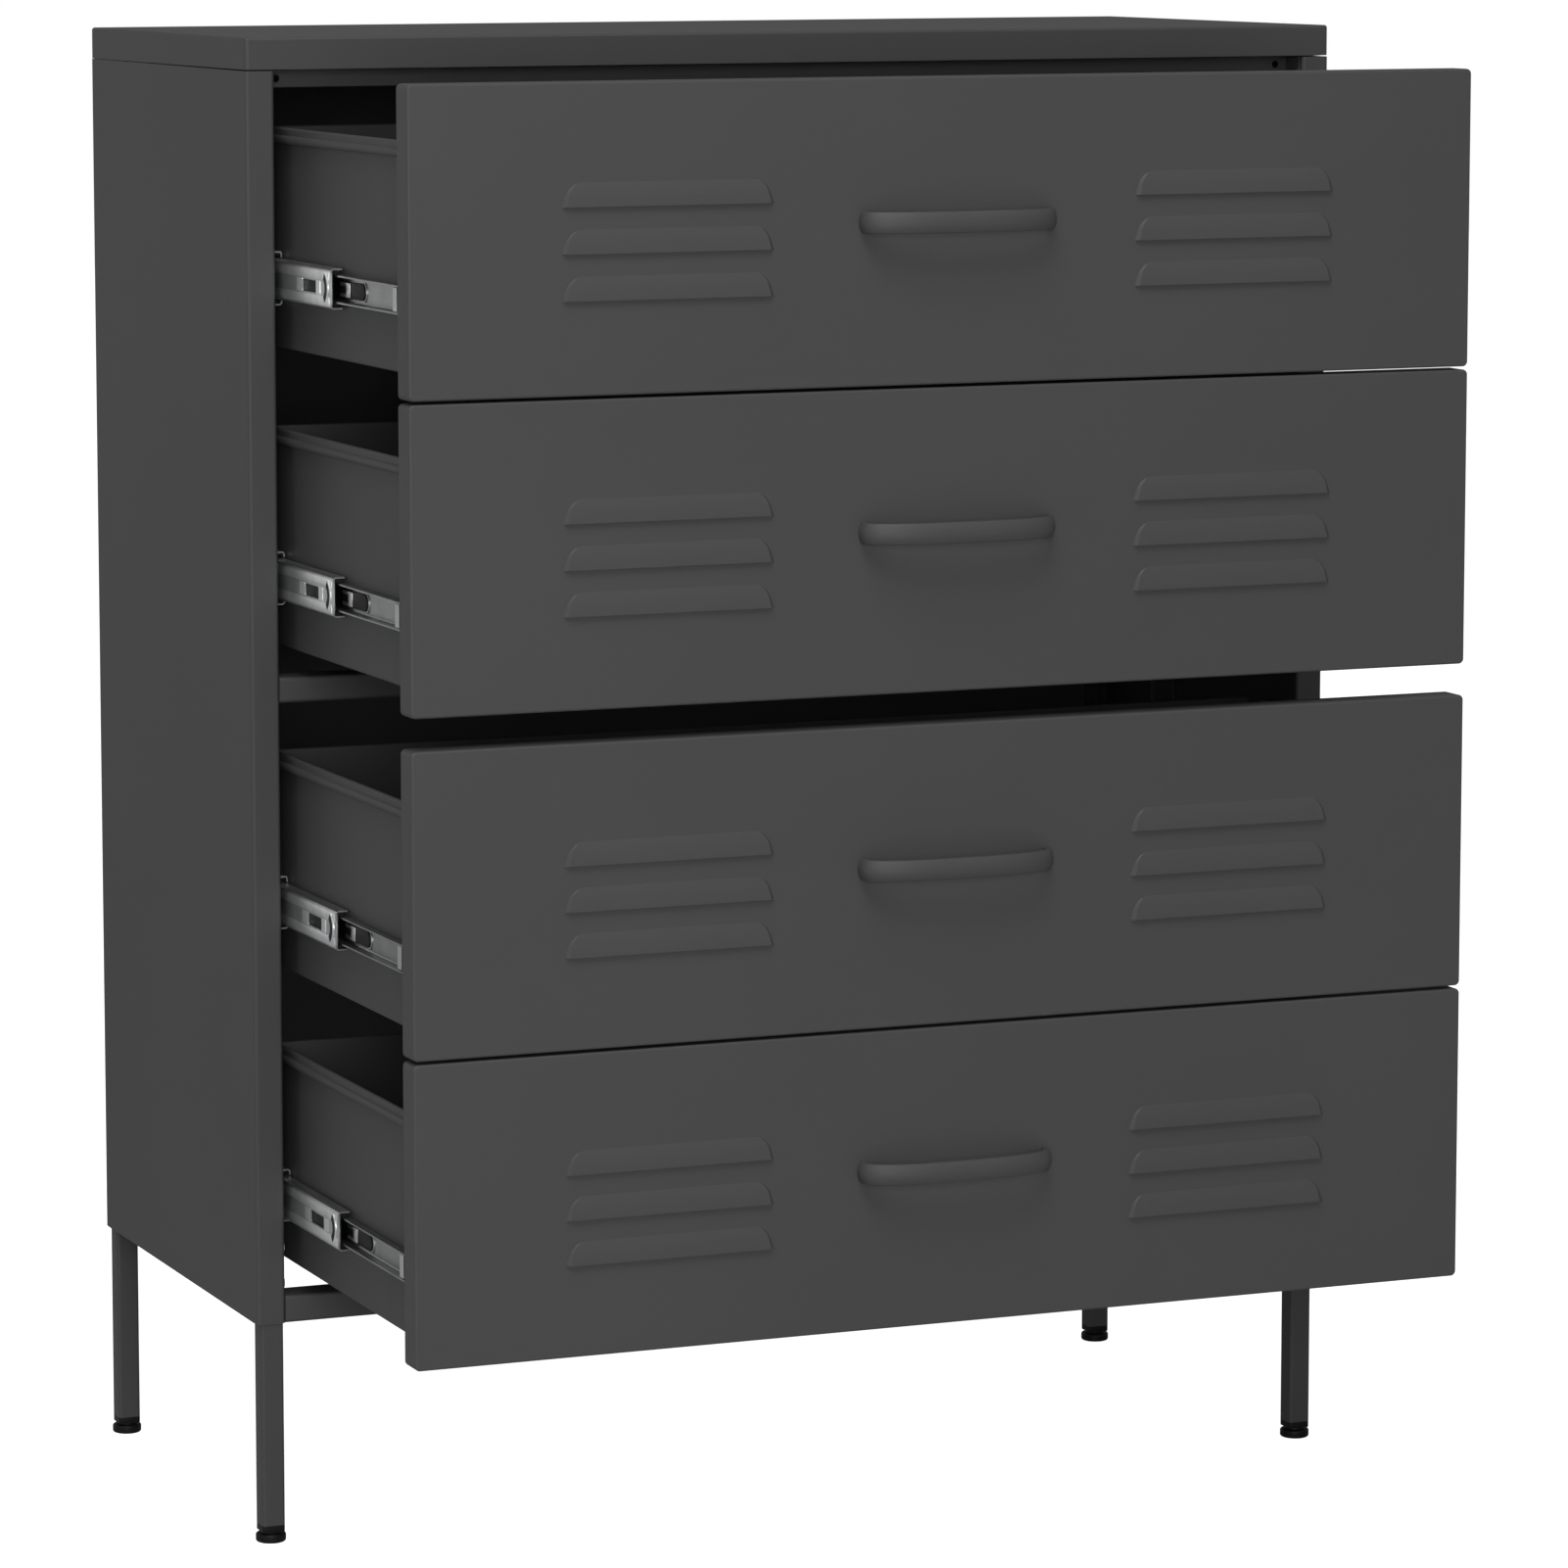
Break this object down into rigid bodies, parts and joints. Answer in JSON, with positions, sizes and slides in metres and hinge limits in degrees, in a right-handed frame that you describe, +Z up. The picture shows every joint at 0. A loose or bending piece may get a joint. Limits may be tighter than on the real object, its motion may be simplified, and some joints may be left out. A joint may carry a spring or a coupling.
{
  "type": "drawer cabinet",
  "caption": "Free-standing steel drawer cabinet on square legs, with louvred fronts, bow handles and ball-bearing slides, drawers shown pulled out.",
  "frame": {"origin": "middle of the bottom of the whole object with its drawers pulled out, on the floor under the feet", "axes": "+Z up, +X along the width, to the right of someone who faces the drawers, -Y out of the fronts, the way the drawers open"},
  "size_m": [0.8, 0.6254, 1.015],
  "materials": {
    "body_paint": "satin powder coat, dark grey, on folded steel sheet",
    "front_paint": "satin powder coat, dark grey, on folded steel sheet",
    "tray_paint": "satin powder coat, dark grey, on folded steel sheet",
    "handle_paint": "satin powder coat, dark grey",
    "foot_plastic": "moulded black, fine grain",
    "slide_zinc": "bright zinc plating on rolled steel strip",
    "screw_steel": "zinc plated",
    "cage_plastic": "moulded black"
  },
  "bodies": {
    "cabinet": {"top_panel": "body_paint", "back_panel": "body_paint", "top_rail": "body_paint", "middle_rail": "body_paint", "bottom_rail": "body_paint", "feet": "foot_plastic", "cabinet_screws": "screw_steel", "side_panel_left": "body_paint", "side_panel_right": "body_paint", "slide_upright_left": "body_paint", "slide_upright_right": "body_paint", "slide_outers_left": "slide_zinc", "slide_outers_right": "slide_zinc", "leg_front_left": "body_paint", "leg_front_right": "body_paint", "leg_back_left": "body_paint", "leg_back_right": "body_paint"},
    "drawer_1": {"drawer_1_front": "front_paint", "drawer_1_tray": "tray_paint", "drawer_1_handle": "handle_paint", "drawer_1_fixings": "screw_steel", "slide_1_inner_left": "slide_zinc", "slide_1_inner_right": "slide_zinc"},
    "slide_1_middles": {"slide_1_middle_left": "slide_zinc", "slide_1_middle_right": "slide_zinc"},
    "slide_1_outer_balls": {"slide_1_outer_cages": "cage_plastic"},
    "slide_1_inner_balls": {"slide_1_inner_cages": "cage_plastic"},
    "drawer_2": {"drawer_2_front": "front_paint", "drawer_2_tray": "tray_paint", "drawer_2_handle": "handle_paint", "drawer_2_fixings": "screw_steel", "slide_2_inner_left": "slide_zinc", "slide_2_inner_right": "slide_zinc"},
    "slide_2_middles": {"slide_2_middle_left": "slide_zinc", "slide_2_middle_right": "slide_zinc"},
    "slide_2_outer_balls": {"slide_2_outer_cages": "cage_plastic"},
    "slide_2_inner_balls": {"slide_2_inner_cages": "cage_plastic"},
    "drawer_3": {"drawer_3_front": "front_paint", "drawer_3_tray": "tray_paint", "drawer_3_handle": "handle_paint", "drawer_3_fixings": "screw_steel", "slide_3_inner_left": "slide_zinc", "slide_3_inner_right": "slide_zinc"},
    "slide_3_middles": {"slide_3_middle_left": "slide_zinc", "slide_3_middle_right": "slide_zinc"},
    "slide_3_outer_balls": {"slide_3_outer_cages": "cage_plastic"},
    "slide_3_inner_balls": {"slide_3_inner_cages": "cage_plastic"},
    "drawer_4": {"drawer_4_front": "front_paint", "drawer_4_tray": "tray_paint", "drawer_4_handle": "handle_paint", "drawer_4_fixings": "screw_steel", "slide_4_inner_left": "slide_zinc", "slide_4_inner_right": "slide_zinc"},
    "slide_4_middles": {"slide_4_middle_left": "slide_zinc", "slide_4_middle_right": "slide_zinc"},
    "slide_4_outer_balls": {"slide_4_outer_cages": "cage_plastic"},
    "slide_4_inner_balls": {"slide_4_inner_cages": "cage_plastic"}
  },
  "joints": [
    {"name": "drawer_1_slide", "type": "slide", "parent": "cabinet", "child": "drawer_1", "axis": [0, -1, 0], "range_m": [-0.25, 0]},
    {"name": "slide_1_middles_slide", "type": "slide", "parent": "cabinet", "child": "slide_1_middles", "axis": [0, -1, 0], "range_m": [-0.125, 0]},
    {"name": "slide_1_outer_balls_roll", "type": "slide", "parent": "cabinet", "child": "slide_1_outer_balls", "axis": [0, -1, 0], "range_m": [-0.0625, 0]},
    {"name": "slide_1_inner_balls_roll", "type": "slide", "parent": "cabinet", "child": "slide_1_inner_balls", "axis": [0, -1, 0], "range_m": [-0.1875, 0]},
    {"name": "drawer_2_slide", "type": "slide", "parent": "cabinet", "child": "drawer_2", "axis": [0, -1, 0], "range_m": [-0.25, 0]},
    {"name": "slide_2_middles_slide", "type": "slide", "parent": "cabinet", "child": "slide_2_middles", "axis": [0, -1, 0], "range_m": [-0.125, 0]},
    {"name": "slide_2_outer_balls_roll", "type": "slide", "parent": "cabinet", "child": "slide_2_outer_balls", "axis": [0, -1, 0], "range_m": [-0.0625, 0]},
    {"name": "slide_2_inner_balls_roll", "type": "slide", "parent": "cabinet", "child": "slide_2_inner_balls", "axis": [0, -1, 0], "range_m": [-0.1875, 0]},
    {"name": "drawer_3_slide", "type": "slide", "parent": "cabinet", "child": "drawer_3", "axis": [0, -1, 0], "range_m": [-0.25, 0]},
    {"name": "slide_3_middles_slide", "type": "slide", "parent": "cabinet", "child": "slide_3_middles", "axis": [0, -1, 0], "range_m": [-0.125, 0]},
    {"name": "slide_3_outer_balls_roll", "type": "slide", "parent": "cabinet", "child": "slide_3_outer_balls", "axis": [0, -1, 0], "range_m": [-0.0625, 0]},
    {"name": "slide_3_inner_balls_roll", "type": "slide", "parent": "cabinet", "child": "slide_3_inner_balls", "axis": [0, -1, 0], "range_m": [-0.1875, 0]},
    {"name": "drawer_4_slide", "type": "slide", "parent": "cabinet", "child": "drawer_4", "axis": [0, -1, 0], "range_m": [-0.25, 0]},
    {"name": "slide_4_middles_slide", "type": "slide", "parent": "cabinet", "child": "slide_4_middles", "axis": [0, -1, 0], "range_m": [-0.125, 0]},
    {"name": "slide_4_outer_balls_roll", "type": "slide", "parent": "cabinet", "child": "slide_4_outer_balls", "axis": [0, -1, 0], "range_m": [-0.0625, 0]},
    {"name": "slide_4_inner_balls_roll", "type": "slide", "parent": "cabinet", "child": "slide_4_inner_balls", "axis": [0, -1, 0], "range_m": [-0.1875, 0]}
  ],
  "couplings": [
    {"joint": "slide_1_middles_slide", "follows": "drawer_1_slide", "ratio": 0.5},
    {"joint": "slide_1_outer_balls_roll", "follows": "drawer_1_slide", "ratio": 0.25},
    {"joint": "slide_1_inner_balls_roll", "follows": "drawer_1_slide", "ratio": 0.75},
    {"joint": "slide_2_middles_slide", "follows": "drawer_2_slide", "ratio": 0.5},
    {"joint": "slide_2_outer_balls_roll", "follows": "drawer_2_slide", "ratio": 0.25},
    {"joint": "slide_2_inner_balls_roll", "follows": "drawer_2_slide", "ratio": 0.75},
    {"joint": "slide_3_middles_slide", "follows": "drawer_3_slide", "ratio": 0.5},
    {"joint": "slide_3_outer_balls_roll", "follows": "drawer_3_slide", "ratio": 0.25},
    {"joint": "slide_3_inner_balls_roll", "follows": "drawer_3_slide", "ratio": 0.75},
    {"joint": "slide_4_middles_slide", "follows": "drawer_4_slide", "ratio": 0.5},
    {"joint": "slide_4_outer_balls_roll", "follows": "drawer_4_slide", "ratio": 0.25},
    {"joint": "slide_4_inner_balls_roll", "follows": "drawer_4_slide", "ratio": 0.75}
  ]
}
